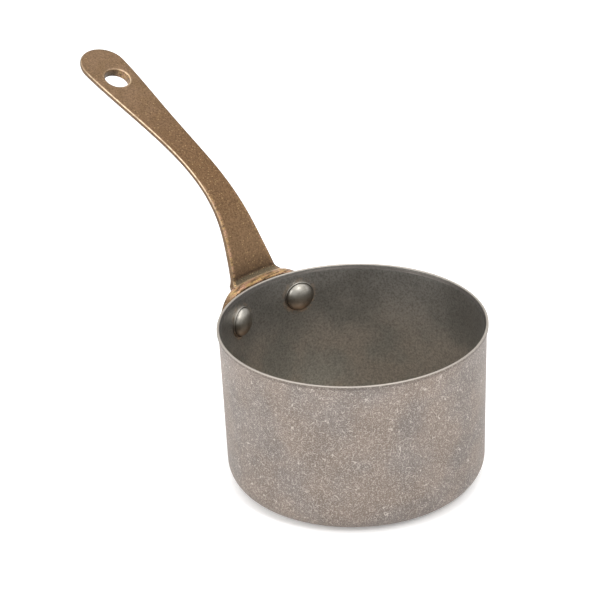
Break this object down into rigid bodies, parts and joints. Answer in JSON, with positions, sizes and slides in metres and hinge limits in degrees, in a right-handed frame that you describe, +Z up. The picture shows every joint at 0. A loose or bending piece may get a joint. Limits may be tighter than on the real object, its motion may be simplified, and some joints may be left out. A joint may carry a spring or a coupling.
{
  "type": "saucepan",
  "caption": "Small round steel saucepan with a turned-out lip and a long waisted strap handle riveted to its wall, with a hanging hole at the handle's tip.",
  "frame": {"origin": "on the cup's axis, in the plane of its flat base", "axes": "+X from the cup's axis towards the handle's tip, +Z up; the XZ plane is the plane of symmetry"},
  "size_m": [0.1767, 0.09, 0.117],
  "materials": {
    "cup_steel": "stone-washed, matt",
    "handle_brass": "antiqued, satin",
    "rivet_steel": "polished"
  },
  "bodies": {
    "root": {"pot_body": "cup_steel", "handle": "handle_brass", "rivet_left": "rivet_steel", "rivet_right": "rivet_steel"}
  },
  "joints": []
}
